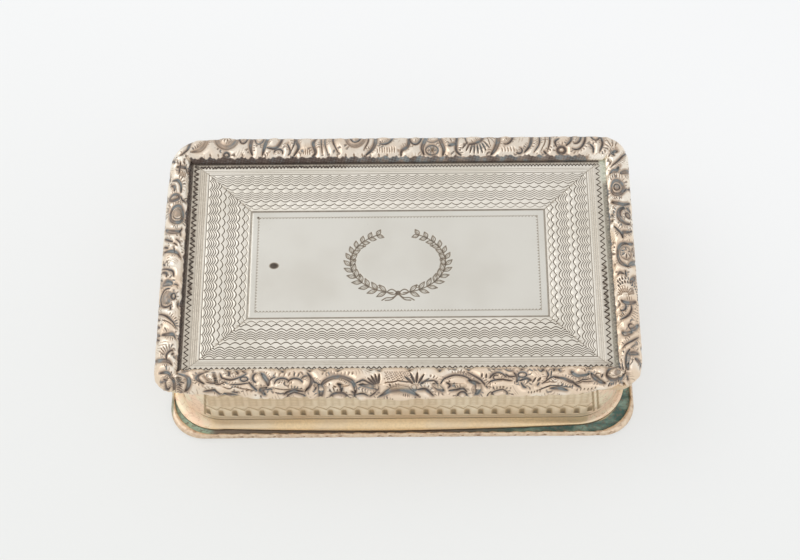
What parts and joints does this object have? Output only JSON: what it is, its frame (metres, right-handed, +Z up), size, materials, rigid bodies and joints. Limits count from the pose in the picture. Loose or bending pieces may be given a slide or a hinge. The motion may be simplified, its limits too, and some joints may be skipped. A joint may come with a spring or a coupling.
{
  "type": "snuff box",
  "caption": "Rounded rectangular silver snuff box with an engine-turned hinged lid, cast scroll borders, a thumbpiece and a gilt interior.",
  "frame": {"origin": "centre of the base plate's flat underside, the face the box stands on", "axes": "+X to the right along the long side, +Y to the back where the hinge is, +Z up; the thumbpiece faces -Y"},
  "size_m": [0.086, 0.054, 0.0196],
  "materials": {
    "silver": "soft polish, engine-turned",
    "cast_silver": "worn cast relief, dark in the hollows",
    "gilt_silver": "worn fire gilding",
    "hinge_silver": "dull"
  },
  "bodies": {
    "body": {"base_plate": "silver", "base_border_front": "cast_silver", "base_border_back": "cast_silver", "base_border_left": "cast_silver", "base_border_right": "cast_silver", "body_wall": "gilt_silver", "body_bezel": "gilt_silver", "body_hinge_bearer": "hinge_silver", "body_knuckle_1": "hinge_silver", "body_knuckle_2": "hinge_silver", "body_knuckle_3": "hinge_silver", "body_knuckle_4": "hinge_silver", "hinge_pin": "hinge_silver", "pin_plug_left": "hinge_silver", "pin_plug_right": "hinge_silver"},
    "lid": {"lid_plate": "silver", "lid_rim": "gilt_silver", "lid_border_front": "cast_silver", "lid_border_back": "cast_silver", "lid_border_left": "cast_silver", "lid_border_right": "cast_silver", "thumbpiece": "cast_silver", "lid_hinge_bearer": "hinge_silver", "lid_knuckle_1": "hinge_silver", "lid_knuckle_2": "hinge_silver", "lid_knuckle_3": "hinge_silver"}
  },
  "joints": [
    {"name": "lid_hinge", "type": "hinge", "parent": "body", "child": "lid", "pos_m": [0, 0.0254, 0.0148], "axis": [-1, 0, 0], "range_deg": [0, 100]}
  ]
}
